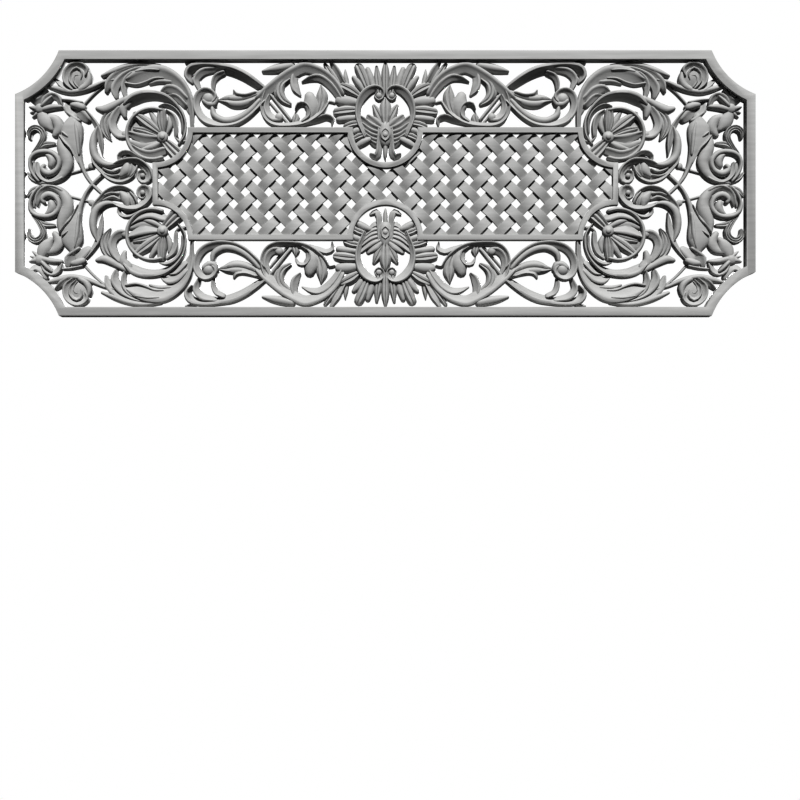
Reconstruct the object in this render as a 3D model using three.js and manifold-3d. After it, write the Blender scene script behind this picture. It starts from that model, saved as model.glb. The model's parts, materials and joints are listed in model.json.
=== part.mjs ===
// A carved fretwork grille: a flat outer frame with bitten-in corners, a ring of acanthus
// scrollwork, a narrow inner frame and a woven lattice. Millimetres, +Z up, +Y to the wall.
// The back of the panel lies in the plane y = 0 and the carving looks towards -Y. The pieces are
// drawn round the middle of the panel, and the finished grille hangs below its origin, which is
// on the back of the top rail at mid-width.
import * as THREE from "three";
import { mergeVertices } from "three/addons/utils/BufferGeometryUtils.js";
import Module from "manifold-3d";

const wasm = await Module();
wasm.setup();

// Driving dimensions
const PANEL_WIDTH = 1000;
const PANEL_HEIGHT = 358.6;
const PANEL_DEPTH = 19.3;
const FRAME_BAR = 12; // face width of the outer frame
const BITE_RADIUS = 103; // radius of the outer edge of each bitten-in corner
const BITE_OUTSET = 37; // how far the centre of that arc stands outside the panel's edges
const GAP = 0.3; // fitting gap between neighbouring pieces

const INNER_HALF_WIDTH = 311.5; // centre line of the inner frame's upright bars
const INNER_HALF_HEIGHT = 72.6; // centre line of its level bars
const INNER_BAR = 7.2;
const INNER_FRONT = 15.8; // height of the inner frame's face above the back plane
const INNER_BACK = 3.5;
const INNER_BITE = 47.5; // radius of its corner bites and of the bites under the medallions

const STRAP_WIDTH = 12.8;
const STRAP_THICKNESS = 5.8; // room that each layer of straps takes up
const WEAVE_BACK = 3.8; // underside of the falling straps, which the rising ones lie on
const WEAVE_PITCH = 31.95;
const WEAVE_START = { x: 1.6, z: 5.6 }; // a crossing of two straps, seen from the panel's middle

// Heights of the carving above the back plane
const HIGH = 16.5;
const MIDDLE = 14;
const LOW = 11.5;
const THIN = 8;
const ROOT = 1; // how far each lobe runs on behind the back plane before the whole is cut flat there

// The frames' half sizes for which the motifs are drawn: outer half and inner half along x and z
const DRAWN = { x: { outer: 500, inner: 311.5 }, z: { outer: 179.3, inner: 72.6 } };

const DEGREE = Math.PI / 180;
const carvedWood = new THREE.MeshStandardMaterial({ color: 0xb4b4b2, roughness: 0.6, metalness: 0 });

// Solids from geometry
function solidFrom(geometry) {
  const bare = geometry.index ? geometry.toNonIndexed() : geometry.clone();
  bare.deleteAttribute("normal");
  bare.deleteAttribute("uv");
  const merged = mergeVertices(bare, 1e-4);
  const vertProperties = new Float32Array(merged.attributes.position.array);
  const triVerts = new Uint32Array(merged.index.array);
  const made = new wasm.Manifold(new wasm.Mesh({ numProp: 3, vertProperties, triVerts }));
  if (made.volume() > 0) return made;
  triVerts.reverse();
  return new wasm.Manifold(new wasm.Mesh({ numProp: 3, vertProperties, triVerts }));
}

function geometryFrom(solid) {
  const { numProp, numVert, vertProperties, triVerts } = solid.getMesh();
  const positions = new Float32Array(numVert * 3);
  for (let i = 0; i < numVert; i++) {
    positions.set(vertProperties.subarray(i * numProp, i * numProp + 3), i * 3);
  }
  const geometry = new THREE.BufferGeometry();
  geometry.setAttribute("position", new THREE.BufferAttribute(positions, 3));
  geometry.setIndex(new THREE.BufferAttribute(new Uint32Array(triVerts), 1));
  return geometry;
}

const joined = (solids) => solids.reduce((whole, next) => whole.add(next));

// The same solid seen in a mirror across x = 0, z = 0 or both
function mirrored(solid, signX, signZ) {
  const geometry = geometryFrom(solid);
  geometry.scale(signX, 1, signZ);
  return solidFrom(geometry);
}

// A flat plate with the given outline of [x, z] points, between two heights above the back plane
function plate(outline, back, front) {
  const shape = new THREE.Shape(outline.map(([x, z]) => new THREE.Vector2(x, z)));
  const geometry = new THREE.ExtrudeGeometry(shape, { depth: front - back, bevelEnabled: false });
  geometry.rotateX(Math.PI / 2); // the outline's second axis becomes z, and the extrusion runs to -Y
  geometry.translate(0, -back, 0);
  return solidFrom(geometry);
}

function arc(x, z, radius, fromDegrees, toDegrees, steps) {
  return Array.from({ length: steps + 1 }, (_, i) => {
    const angle = (fromDegrees + ((toDegrees - fromDegrees) * i) / steps) * DEGREE;
    return [x + radius * Math.cos(angle), z + radius * Math.sin(angle)];
  });
}

// A whole outline from its quarter, which runs from the z axis to the x axis
function fourfold(quarter) {
  const right = [...quarter, ...quarter.map(([x, z]) => [x, -z]).reverse()];
  const left = right.map(([x, z]) => [-x, z]).reverse();
  return [...right, ...left].filter(([x, z], i, all) => {
    const [nextX, nextZ] = all[(i + 1) % all.length];
    return Math.hypot(nextX - x, nextZ - z) > 1e-3;
  });
}

// The panel's outline, moved inwards by the inset
function panelOutline(inset) {
  const radius = BITE_RADIUS + inset;
  const lean = Math.asin((BITE_OUTSET + inset) / radius) / DEGREE;
  const x = PANEL_WIDTH / 2 + BITE_OUTSET;
  const z = PANEL_HEIGHT / 2 + BITE_OUTSET;
  return fourfold([
    [0, PANEL_HEIGHT / 2 - inset],
    ...arc(x, z, radius, 180 + lean, 270 - lean, 6),
    [PANEL_WIDTH / 2 - inset, 0],
  ]);
}

// The inner frame's centre line, moved outwards by the outset: bitten corners, and a half-round
// bite in the middle of the long sides
function innerOutline(outset) {
  const radius = INNER_BITE - outset;
  const lean = Math.asin(outset / radius) / DEGREE;
  return fourfold([
    ...arc(0, INNER_HALF_HEIGHT, radius, -90, lean, 7),
    ...arc(INNER_HALF_WIDTH, INNER_HALF_HEIGHT, radius, 180 - lean, 270 + lean, 6),
    [INNER_HALF_WIDTH + outset, 0],
  ]);
}

// Carries a drawn point to the panel's real size. It keeps its share of the way between the two frames,
// or between the inner frame and the middle.
function placed([x, z]) {
  const follow = (value, drawn, inner, outer) => {
    const beyond = Math.max(Math.abs(value) - drawn.inner, 0);
    const within = Math.abs(value) - beyond;
    return Math.sign(value) * ((within * inner) / drawn.inner
      + (beyond * (outer - inner)) / (drawn.outer - drawn.inner));
  };
  return [
    follow(x, DRAWN.x, INNER_HALF_WIDTH, PANEL_WIDTH / 2),
    follow(z, DRAWN.z, INNER_HALF_HEIGHT, PANEL_HEIGHT / 2),
  ];
}

// Carved lobe: a ridged bar along a smooth curve through its points, each with a width of its own
function lobe(drawnPoints, widths, crown) {
  const points = drawnPoints.map(placed);
  const curve = new THREE.CatmullRomCurve3(
    points.map(([x, z]) => new THREE.Vector3(x, 0, z)), false, "centripetal");
  const profile = [[-1, -ROOT], [-1, 0], [0, crown], [1, 0], [1, -ROOT]];
  const sections = points.map(([x, z], i) => {
    const ahead = curve.getTangent(i / (points.length - 1));
    return profile.map(([across, height]) => [
      x - (ahead.z * across * widths[i]) / 2, -height, z + (ahead.x * across * widths[i]) / 2]);
  });
  const size = profile.length;
  const index = [];
  for (let s = 0; s + 1 < sections.length; s++) {
    for (let k = 0; k < size; k++) {
      const [a, b] = [s * size + k, s * size + ((k + 1) % size)];
      index.push(a, b, b + size, a, b + size, a + size);
    }
  }
  const end = (sections.length - 1) * size;
  for (let k = 1; k + 1 < size; k++) {
    index.push(0, k + 1, k, end, end + k, end + k + 1);
  }
  const geometry = new THREE.BufferGeometry();
  geometry.setAttribute("position", new THREE.Float32BufferAttribute(sections.flat(2), 3));
  geometry.setIndex(index);
  return solidFrom(geometry);
}

// The points of a spiral round a centre, with its radius going evenly from first to last
function spiral([x, z], firstRadius, lastRadius, fromDegrees, turns, steps) {
  return Array.from({ length: steps + 1 }, (_, i) => {
    const angle = (fromDegrees + (turns * 360 * i) / steps) * DEGREE;
    const radius = THREE.MathUtils.lerp(firstRadius, lastRadius, i / steps);
    return [x + radius * Math.cos(angle), z + radius * Math.sin(angle)];
  });
}

const evenly = (first, last, count) =>
  Array.from({ length: count }, (_, i) => THREE.MathUtils.lerp(first, last, i / (count - 1)));

// A short dome, such as a boss or the curled end of a scroll
function dome(middle, radius, crown, sides = 6) {
  const [x, z] = placed(middle);
  const geometry = new THREE.CylinderGeometry(radius * 0.55, radius, crown, sides);
  geometry.rotateX(Math.PI); // the narrow end to the front
  geometry.translate(x, -crown / 2, z);
  return solidFrom(geometry);
}

// A flat fan of rays, each given as [root, tip, width at the tip], with valleys between their roots.
// The fan is closed along the inner points.
function fan(rays, inner, top) {
  const outline = rays.flatMap(([root, tip, width], i) => {
    const [alongX, alongZ] = [tip[0] - root[0], tip[1] - root[1]];
    const scale = width / 2 / Math.hypot(alongX, alongZ);
    const near = [tip[0] + alongZ * scale, tip[1] - alongX * scale];
    const far = [tip[0] - alongZ * scale, tip[1] + alongX * scale];
    const next = rays[i + 1]?.[0];
    return next ? [near, far, [(root[0] + next[0]) / 2, (root[1] + next[1]) / 2]] : [near, far];
  });
  return plate([...outline, ...inner].map(placed), -ROOT, top);
}

// Motifs of the upper left quarter, placed from the middle of the panel

function cornerSwirl() {
  return [
    dome([-417, 145.5], 18.5, MIDDLE, 9),
    lobe([[-368, 142], [-398, 129.5], [-421, 126], [-457, 132]], [4, 7, 9, 2], LOW),
    lobe([[-411, 108], [-382, 136]], [4, 4], THIN),
  ];
}

function cornerBud() {
  return [
    lobe([[-481, 115], [-468, 116], [-457, 128]], [4, 12, 5], LOW),
    lobe([[-479, 103], [-455, 115], [-445, 117.5], [-436, 104]], [8, 9, 10, 5], MIDDLE),
    lobe([[-467, 107], [-458, 84], [-449, 66]], [10, 28, 10], MIDDLE),
  ];
}

function calyx() {
  return [
    lobe([[-437, 110], [-424, 108], [-409, 107]], [6, 16, 9], MIDDLE),
    lobe([[-428, 103], [-417, 95], [-403, 86]], [12, 17, 6], LOW),
  ];
}

// Seed pod, whose stalk runs on to the crossing on the panel's middle line
function pod() {
  return [
    lobe([[-420, 90], [-426, 73], [-425, 55], [-417, 36], [-398, 0]], [9, 29, 21, 9, 5], MIDDLE),
    lobe([[-399, -1], [-382, 15]], [5, 5], LOW),
    lobe([[-433, 14.5], [-397, 24]], [4, 7], THIN),
  ];
}

function sideVolute() {
  const coil = spiral([-461, 27.5], 20, 8, -120, -1.2, 8);
  return [
    lobe([[-438, 70], [-438, 47], [-432, 25], [-447, 5], [-474, 12]], [5, 13, 15, 10, 10], MIDDLE),
    lobe(coil, evenly(11, 8, coil.length), MIDDLE),
    lobe([[-483, 62], [-474, 76], [-463, 66], [-477, 33]], [6, 9, 10, 8], LOW),
    lobe([[-471, 49], [-449, 56]], [9, 4], LOW),
  ];
}

// Stems that wind about each other and end in the acanthus beside the inner frame
function windingStems() {
  return [
    lobe([[-408, 104], [-391, 79], [-384, 57], [-384, 37]], [4, 8, 9, 2], MIDDLE),
    lobe([[-391, 76], [-395, 55], [-386, 30], [-366, 27]], [3, 11, 13, 6], MIDDLE),
    lobe([[-394, 34], [-382, 13], [-360, 3.5], [-338, 14]], [5, 9, 7, 6], HIGH),
  ];
}

function sideAcanthus() {
  const coil = spiral([-327.5, 13.5], 9.5, 9.5, 75, -0.7, 4);
  return [
    lobe([[-368, 27], [-346, 32.5], [-320, 24]], [6, 9, 7], HIGH),
    lobe([[-361, 31], [-354, 43], [-326, 35]], [4, 7, 5], MIDDLE),
    lobe([[-385, 21], [-358, 15], [-340, 24]], [5, 19, 9], LOW),
    lobe(coil, evenly(8, 8, coil.length), MIDDLE),
  ];
}

function middleSpray() {
  return [
    lobe([[-391, 102], [-373, 103.5], [-354, 116]], [7, 12, 8], MIDDLE),
    lobe([[-362, 104], [-380, 86], [-373, 61]], [8, 14, 2], LOW),
    lobe([[-361, 102], [-371, 80], [-352, 67]], [6, 10, 12], MIDDLE),
    // the band that springs from the spray and coils round the flower
    lobe([[-354, 115], [-325, 122.5], [-291, 110], [-273, 80], [-283, 50]], [9, 8, 7, 8, 4], HIGH),
  ];
}

function upperSpray() {
  return [
    lobe([[-382, 146], [-357, 157], [-330, 161]], [5, 9, 9], MIDDLE),
    lobe([[-367, 118], [-365, 138], [-340, 153]], [10, 20, 14], MIDDLE),
    // the leaf body that narrows into the large arc down to the inner frame
    lobe([[-352, 145], [-327, 150], [-300, 150], [-277, 133.5], [-264, 108], [-262, 75]],
      [12, 30, 16, 14, 11, 8], HIGH),
    lobe([[-303, 125], [-287, 128], [-270, 114]], [6, 13, 9], MIDDLE),
  ];
}

function flower() {
  const boss = [-301.5, 63.5];
  // direction in degrees, reach from the boss and width at the tip, going round anticlockwise
  const petals = [[50, 27, 8], [94, 39, 14], [133, 41, 17], [164, 39, 8], [190, 43, 18], [220, 32, 10]];
  const toward = ([direction, , ], reach) => [
    boss[0] + reach * Math.cos(direction * DEGREE), boss[1] + reach * Math.sin(direction * DEGREE)];
  const rays = petals.map((petal) => [toward(petal, 14), toward(petal, petal[1]), petal[2]]);
  const ring = arc(-315.8, 67.5, 35, 72, 292, 7);
  return [
    fan(rays, [[boss[0], boss[1] - 5], [boss[0] + 6, boss[1]]], LOW),
    lobe(ring, evenly(5, 5, ring.length), LOW),
    dome(boss, 8, HIGH),
    lobe([[-298, 57], [-284, 41]], [8, 18], MIDDLE),
  ];
}

function heartScroll() {
  return [
    lobe([[-266, 139], [-264, 156], [-244, 161.5], [-202, 156], [-163, 128]], [7, 12, 9, 10, 10], HIGH),
    lobe([[-254, 132], [-253, 148], [-232, 157]], [6, 10, 6], MIDDLE),
    lobe([[-232, 129], [-227, 145], [-205, 151]], [5, 7, 8], LOW),
    lobe([[-244, 125], [-256, 110], [-248, 89.5], [-226, 82], [-201, 85.5], [-169, 112]],
      [10, 11, 11, 11, 10, 8], HIGH),
    dome([-236.5, 117], 11.5, HIGH),
    lobe([[-226, 113.5], [-202, 111], [-176, 117]], [2, 15, 12], MIDDLE),
  ];
}

function ribbon() {
  return [
    lobe([[-182, 116], [-154, 134], [-124, 156], [-93, 155], [-60, 124]], [13, 14, 17, 12, 10], HIGH),
    lobe([[-165, 155], [-137, 159]], [5, 13], MIDDLE),
    lobe([[-113, 139], [-94, 147], [-75, 137], [-61, 116]], [4, 9, 9, 7], MIDDLE),
    lobe([[-134, 141], [-141, 123], [-131, 109]], [9, 11, 9], MIDDLE),
    lobe([[-120, 147], [-122, 134], [-117, 122]], [8, 10, 4], MIDDLE),
  ];
}

function cScroll() {
  return [
    lobe([[-165, 122], [-167, 101], [-149, 83], [-120, 81.5], [-95, 91], [-80, 107], [-69, 107]],
      [8, 7, 7, 7, 9, 5, 3], HIGH),
    lobe([[-106, 84], [-79, 90], [-72, 78]], [7, 9, 3], MIDDLE),
    lobe([[-157, 127], [-162, 108], [-154, 92], [-143.5, 89]], [4, 8, 10, 9], MIDDLE),
    lobe([[-156, 120], [-130, 86]], [7, 7], LOW),
    lobe([[-102, 121], [-101, 100], [-108, 86]], [12, 19, 7], MIDDLE),
    lobe([[-88.5, 135], [-87, 118], [-96, 93]], [1.5, 17, 11], MIDDLE),
  ];
}

function leafPair() {
  return [
    lobe([[-80, 162], [-62, 134]], [9, 7], MIDDLE),
    lobe([[-74, 163], [-56, 135]], [9, 7], HIGH),
  ];
}

// Left half of the medallion: the sunburst, the horseshoe ring, a side petal, a wing and a foot
function medallionSide() {
  const rays = [
    [[-9, 131], [-12, 160], 6], [[-21, 130], [-34, 159], 17], [[-30, 123], [-45, 139], 13],
    [[-38, 112], [-61, 123], 17], [[-40, 104], [-67, 106], 8], [[-39, 94], [-67, 92.5], 9],
    [[-38, 83], [-55, 81], 8], [[-34, 72], [-44, 71], 12], [[-30, 58], [-41, 54.5], 6],
  ];
  const ring = [[-5, 121], [-18, 125], [-31, 117], [-37, 100], [-35, 82], [-29, 62]];
  return [
    fan(rays, [[-27, 60], [-35, 82], [-37, 100], [-31, 117], [-18, 125], [-5, 124]], LOW),
    lobe(ring, [15, 15, 12, 9, 7, 4], HIGH + 1),
    lobe([[-3, 83], [-13.5, 105]], [10, 7], MIDDLE),
    lobe([[-7, 77], [-29, 92]], [14, 12], LOW),
    lobe([[-8, 66], [-29, 72]], [26, 14], MIDDLE),
    lobe([[-7, 50], [-12, 38], [-21, 37]], [7, 11, 6], MIDDLE),
  ];
}

// Middle of the medallion: the tallest ray, the flower bud, the column and its point
function medallionMiddle() {
  return [
    lobe([[0, 122], [0, 157], [0, 168.5]], [9, 12, 1.5], HIGH),
    lobe([[0, 80], [0, 104], [0, 119.5]], [7, 17, 1.5], HIGH),
    lobe([[0, 83], [0, 62], [0, 33]], [14, 20, 6], HIGH),
  ];
}

// Pieces

function outerFrame() {
  return plate(panelOutline(0), 0, PANEL_DEPTH).subtract(plate(panelOutline(FRAME_BAR), -1, PANEL_DEPTH + 1));
}

function innerFrame() {
  const half = INNER_BAR / 2;
  return plate(innerOutline(half), INNER_BACK, INNER_FRONT)
    .subtract(plate(innerOutline(-half), INNER_BACK - 1, INNER_FRONT + 1));
}

function scrollwork() {
  const motifs = [cornerSwirl, cornerBud, calyx, pod, sideVolute, windingStems, sideAcanthus, middleSpray,
    upperSpray, flower, heartScroll, ribbon, cScroll, leafPair, medallionSide];
  const quarter = joined(motifs.flatMap((motif) => motif()));
  const half = joined([quarter, mirrored(quarter, -1, 1), ...medallionMiddle()]);
  const room = plate(panelOutline(FRAME_BAR + GAP), 0, PANEL_DEPTH)
    .subtract(plate(innerOutline(INNER_BAR / 2 + GAP), -1, PANEL_DEPTH + 1));
  return half.add(mirrored(half, 1, -1)).intersect(room);
}

// One family of parallel straps at 45 degrees: lean is 1 where they rise to the right, -1 where they fall
function straps(lean, back) {
  const halfRun = INNER_HALF_HEIGHT;
  const halfWidth = STRAP_WIDTH / Math.SQRT2; // measured along x
  const first = WEAVE_START.x - lean * WEAVE_START.z;
  const count = Math.ceil((INNER_HALF_WIDTH + halfRun) / WEAVE_PITCH);
  const family = Array.from({ length: 2 * count + 1 }, (_, i) => {
    const middle = first + (i - count) * WEAVE_PITCH;
    const outline = [[-halfWidth, -halfRun], [halfWidth, -halfRun], [halfWidth, halfRun], [-halfWidth, halfRun]];
    return plate(outline.map(([x, z]) => [middle + x + lean * z, z]), back, back + STRAP_THICKNESS);
  });
  return joined(family);
}

function lattice() {
  const room = plate(innerOutline(-INNER_BAR / 2 - GAP), 0, PANEL_DEPTH);
  return straps(-1, WEAVE_BACK).add(straps(1, WEAVE_BACK + STRAP_THICKNESS)).intersect(room);
}

const grille = new THREE.Group();
grille.position.z = -(PANEL_HEIGHT - FRAME_BAR) / 2;
const pieces = {
  outer_frame: outerFrame,
  inner_frame: innerFrame,
  carved_scrollwork: scrollwork,
  woven_lattice: lattice,
};
for (const [name, make] of Object.entries(pieces)) {
  const mesh = new THREE.Mesh(geometryFrom(make()), carvedWood);
  mesh.name = name;
  grille.add(mesh);
}

export default grille;
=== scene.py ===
import json
from math import asin, ceil, cos, hypot, pi, radians, sin, sqrt, tanh

import bpy
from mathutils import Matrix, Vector

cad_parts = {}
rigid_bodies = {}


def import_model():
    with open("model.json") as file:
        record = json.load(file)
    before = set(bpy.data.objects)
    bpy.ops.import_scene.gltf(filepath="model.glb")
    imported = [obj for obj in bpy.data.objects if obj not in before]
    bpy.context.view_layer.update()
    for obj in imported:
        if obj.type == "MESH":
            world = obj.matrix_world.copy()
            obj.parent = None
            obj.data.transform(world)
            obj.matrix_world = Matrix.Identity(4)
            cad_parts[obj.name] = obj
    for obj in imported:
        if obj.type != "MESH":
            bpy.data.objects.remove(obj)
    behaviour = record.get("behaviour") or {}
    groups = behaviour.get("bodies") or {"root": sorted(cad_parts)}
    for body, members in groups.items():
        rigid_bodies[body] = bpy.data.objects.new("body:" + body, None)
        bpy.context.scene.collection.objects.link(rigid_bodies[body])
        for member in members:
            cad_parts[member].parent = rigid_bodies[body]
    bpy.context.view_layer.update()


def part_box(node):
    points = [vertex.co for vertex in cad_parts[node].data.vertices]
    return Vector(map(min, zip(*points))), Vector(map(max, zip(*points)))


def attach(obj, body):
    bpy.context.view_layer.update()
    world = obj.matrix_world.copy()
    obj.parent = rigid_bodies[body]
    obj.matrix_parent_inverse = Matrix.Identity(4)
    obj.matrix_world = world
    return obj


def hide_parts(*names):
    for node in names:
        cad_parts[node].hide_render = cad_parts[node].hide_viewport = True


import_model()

# Sizes are in millimetres and are measured from the middle of the panel, with the back at y = 0.
# finishPiece takes them to metres and to the panel's own place.
mm = 0.001
outerLow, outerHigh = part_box("outer_frame")
panelMiddle = (outerLow.z + outerHigh.z) / 2
print("frame loaded")


def deselectAll():
    if bpy.context.object and bpy.context.object.mode != "OBJECT":
        bpy.ops.object.mode_set(mode="OBJECT")
    bpy.ops.object.select_all(action="DESELECT")


def makeActive(piece):
    deselectAll()
    piece.select_set(True)
    bpy.context.view_layer.objects.active = piece


def applyModifiers(piece):
    makeActive(piece)
    for modifier in list(piece.modifiers):
        bpy.ops.object.modifier_apply(modifier=modifier.name)


def combine(piece, other, operation):
    cut = piece.modifiers.new(operation.lower(), "BOOLEAN")
    cut.operation = operation
    cut.solver = "MANIFOLD"
    cut.object = other
    applyModifiers(piece)
    bpy.data.objects.remove(other, do_unlink=True)


def meshPiece(name, vertices, faces):
    mesh = bpy.data.meshes.new(name)
    mesh.from_pydata(vertices, [], faces)
    mesh.update()
    piece = bpy.data.objects.new(name, mesh)
    bpy.context.collection.objects.link(piece)
    return piece


def joinPieces(pieces, name):
    deselectAll()
    for piece in pieces:
        piece.select_set(True)
    bpy.context.view_layer.objects.active = pieces[0]
    bpy.ops.object.join()
    pieces[0].name = name
    return pieces[0]


def finishPiece(piece, node, material, sharpAngle):
    makeActive(piece)
    piece.scale = (mm, mm, mm)
    piece.location = (0, 0, panelMiddle)
    bpy.ops.object.transform_apply(location=True, rotation=False, scale=True)
    bpy.ops.object.shade_smooth_by_angle(angle=radians(sharpAngle))
    piece.data.materials.clear()
    piece.data.materials.append(material)
    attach(piece, "root")
    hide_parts(node)
    print(piece.name, sum(len(face.vertices) - 2 for face in piece.data.polygons), "triangles")


# Finish: matt grey primer, brushed along the grain of the wood

finish = {
    "primer": (0.40, 0.40, 0.395, 1), "brushed": (0.46, 0.46, 0.455, 1),
    "primerUpTo": 0.35, "brushedFrom": 0.68,  # shares of the streaks
    "paintedShadeTone": (0.78, 0.78, 0.78, 1), "frontY": -0.0193,  # painted shade: the colour darkens towards the back plane
    "roughness": 0.62, "smoother": 0.06, "rougher": 0.08, "specular": 0.35,
    "poreRelief": 0.35, "bumpStrength": 0.35,
}
grainSize = {
    "stretch": (12, 160, 160),  # the grain runs along the panel
    "streakDetail": 6, "streakRoughness": 0.6, "poreScale": 900, "poreDetail": 3,
}


def makeGrainGroup():
    group = bpy.data.node_groups.new("primedGrain", "ShaderNodeTree")
    scale = group.interface.new_socket("Scale", in_out="INPUT", socket_type="NodeSocketFloat")
    scale.default_value = 1
    group.interface.new_socket("Streaks", in_out="OUTPUT", socket_type="NodeSocketFloat")
    group.interface.new_socket("Pores", in_out="OUTPUT", socket_type="NodeSocketFloat")
    nodes, links = group.nodes, group.links
    entry = nodes.new("NodeGroupInput")
    leave = nodes.new("NodeGroupOutput")
    where = nodes.new("ShaderNodeTexCoord")
    along = nodes.new("ShaderNodeMapping")
    along.inputs["Scale"].default_value = grainSize["stretch"]
    links.new(where.outputs["Object"], along.inputs["Vector"])
    streaks = nodes.new("ShaderNodeTexNoise")
    streaks.inputs["Detail"].default_value = grainSize["streakDetail"]
    streaks.inputs["Roughness"].default_value = grainSize["streakRoughness"]
    links.new(along.outputs["Vector"], streaks.inputs["Vector"])
    links.new(entry.outputs["Scale"], streaks.inputs["Scale"])
    pores = nodes.new("ShaderNodeTexNoise")
    pores.inputs["Scale"].default_value = grainSize["poreScale"]
    pores.inputs["Detail"].default_value = grainSize["poreDetail"]
    links.new(where.outputs["Object"], pores.inputs["Vector"])
    links.new(streaks.outputs["Fac"], leave.inputs["Streaks"])
    links.new(pores.outputs["Fac"], leave.inputs["Pores"])
    return group


def makeMaterial(name, grainGroup, grainScale, bumpHeight):
    material = bpy.data.materials.new(name)
    material.use_nodes = True
    nodes, links = material.node_tree.nodes, material.node_tree.links
    shader = nodes["Principled BSDF"]
    grain = nodes.new("ShaderNodeGroup")
    grain.node_tree = grainGroup
    grain.inputs["Scale"].default_value = grainScale

    # brushed primer: two close greys along the streaks
    tone = nodes.new("ShaderNodeValToRGB")
    tone.color_ramp.elements[0].position = finish["primerUpTo"]
    tone.color_ramp.elements[0].color = finish["primer"]
    tone.color_ramp.elements[1].position = finish["brushedFrom"]
    tone.color_ramp.elements[1].color = finish["brushed"]
    links.new(grain.outputs["Streaks"], tone.inputs["Fac"])

    # painted shade: the colour is multiplied darker low in the carving, towards the back plane
    where = nodes.new("ShaderNodeTexCoord")
    axes = nodes.new("ShaderNodeSeparateXYZ")
    links.new(where.outputs["Object"], axes.inputs["Vector"])
    depth = nodes.new("ShaderNodeMapRange")
    depth.inputs["From Min"].default_value = finish["frontY"]
    depth.inputs["From Max"].default_value = 0
    links.new(axes.outputs["Y"], depth.inputs["Value"])
    low = nodes.new("ShaderNodeMix")
    low.data_type = "RGBA"
    low.blend_type = "MULTIPLY"
    low.inputs["B"].default_value = finish["paintedShadeTone"]
    links.new(depth.outputs["Result"], low.inputs["Factor"])
    links.new(tone.outputs["Color"], low.inputs["A"])
    links.new(low.outputs["Result"], shader.inputs["Base Color"])

    sheen = nodes.new("ShaderNodeMapRange")
    sheen.inputs["To Min"].default_value = finish["roughness"] - finish["smoother"]
    sheen.inputs["To Max"].default_value = finish["roughness"] + finish["rougher"]
    links.new(grain.outputs["Pores"], sheen.inputs["Value"])
    links.new(sheen.outputs["Result"], shader.inputs["Roughness"])
    shader.inputs["Specular IOR Level"].default_value = finish["specular"]

    relief = nodes.new("ShaderNodeMath")
    relief.operation = "MULTIPLY_ADD"
    relief.inputs[1].default_value = finish["poreRelief"]
    links.new(grain.outputs["Pores"], relief.inputs[0])
    links.new(grain.outputs["Streaks"], relief.inputs[2])
    bump = nodes.new("ShaderNodeBump")
    bump.inputs["Strength"].default_value = finish["bumpStrength"]
    bump.inputs["Distance"].default_value = bumpHeight
    links.new(relief.outputs["Value"], bump.inputs["Height"])
    links.new(bump.outputs["Normal"], shader.inputs["Normal"])
    return material


grainGroup = makeGrainGroup()
flatMaterial = makeMaterial("primedFrame", grainGroup, 1.0, 0.00012)
carvedMaterial = makeMaterial("primedCarving", grainGroup, 0.8, 0.00010)
strapMaterial = makeMaterial("primedStraps", grainGroup, 1.2, 0.00010)
print("materials made")


# Frames: a board cut from a cube, with round bites taken out of it

outerFrame = {
    "halfWidth": 500, "halfHeight": 179.3, "depth": 19.3, "bar": 12,
    "biteRadius": 103, "biteOutset": 37,  # the bite's centre stands outside the panel's edges
    "edge": 0.35, "sides": 160, "sharp": 30,
}
innerFrame = {
    "halfWidth": 311.5, "halfHeight": 72.6, "bar": 7.2, "back": 3.5, "front": 15.8,
    "bite": 47.5, "edge": 0.3, "sides": 128, "sharp": 30,
}
past = 5  # how far a cutter stands out of the board that it cuts


def cutBoard(halfWidth, halfHeight, back, front, bites, sides):
    deselectAll()
    bpy.ops.mesh.primitive_cube_add(size=2, location=(0, -(back + front) / 2, 0),
                                    scale=(halfWidth, (front - back) / 2, halfHeight))
    board = bpy.context.object
    bpy.ops.object.transform_apply(location=True, rotation=False, scale=True)
    for x, z, radius in bites:
        deselectAll()
        bpy.ops.mesh.primitive_cylinder_add(vertices=sides, radius=radius, depth=4 * front,
                                            location=(x, -(back + front) / 2, z),
                                            rotation=(pi / 2, 0, 0))
        drill = bpy.context.object
        bpy.ops.object.transform_apply(location=True, rotation=True, scale=True)
        combine(board, drill, "DIFFERENCE")
    return board


def outerBoard(inset, back, front):
    size = outerFrame
    biteX = size["halfWidth"] + size["biteOutset"]
    biteZ = size["halfHeight"] + size["biteOutset"]
    bites = [(sideX * biteX, sideZ * biteZ, size["biteRadius"] + inset)
             for sideX in (-1, 1) for sideZ in (-1, 1)]
    return cutBoard(size["halfWidth"] - inset, size["halfHeight"] - inset, back, front, bites,
                    size["sides"])


def innerBoard(outset, back, front):
    size = innerFrame
    bites = [(sideX * size["halfWidth"], sideZ * size["halfHeight"], size["bite"] - outset)
             for sideX in (-1, 0, 1) for sideZ in (-1, 1)]
    return cutBoard(size["halfWidth"] + outset, size["halfHeight"] + outset, back, front, bites,
                    size["sides"])


def easeEdges(piece, width):
    bevel = piece.modifiers.new("ease", "BEVEL")
    bevel.width = width
    bevel.segments = 2
    bevel.limit_method = "ANGLE"
    bevel.angle_limit = radians(50)  # the edges, not the sides of the round bites
    applyModifiers(piece)


outerPiece = outerBoard(0, 0, outerFrame["depth"])
combine(outerPiece, outerBoard(outerFrame["bar"], -past, outerFrame["depth"] + past), "DIFFERENCE")
outerPiece.name = "outerFrame"
easeEdges(outerPiece, outerFrame["edge"])
finishPiece(outerPiece, "outer_frame", flatMaterial, outerFrame["sharp"])

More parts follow.
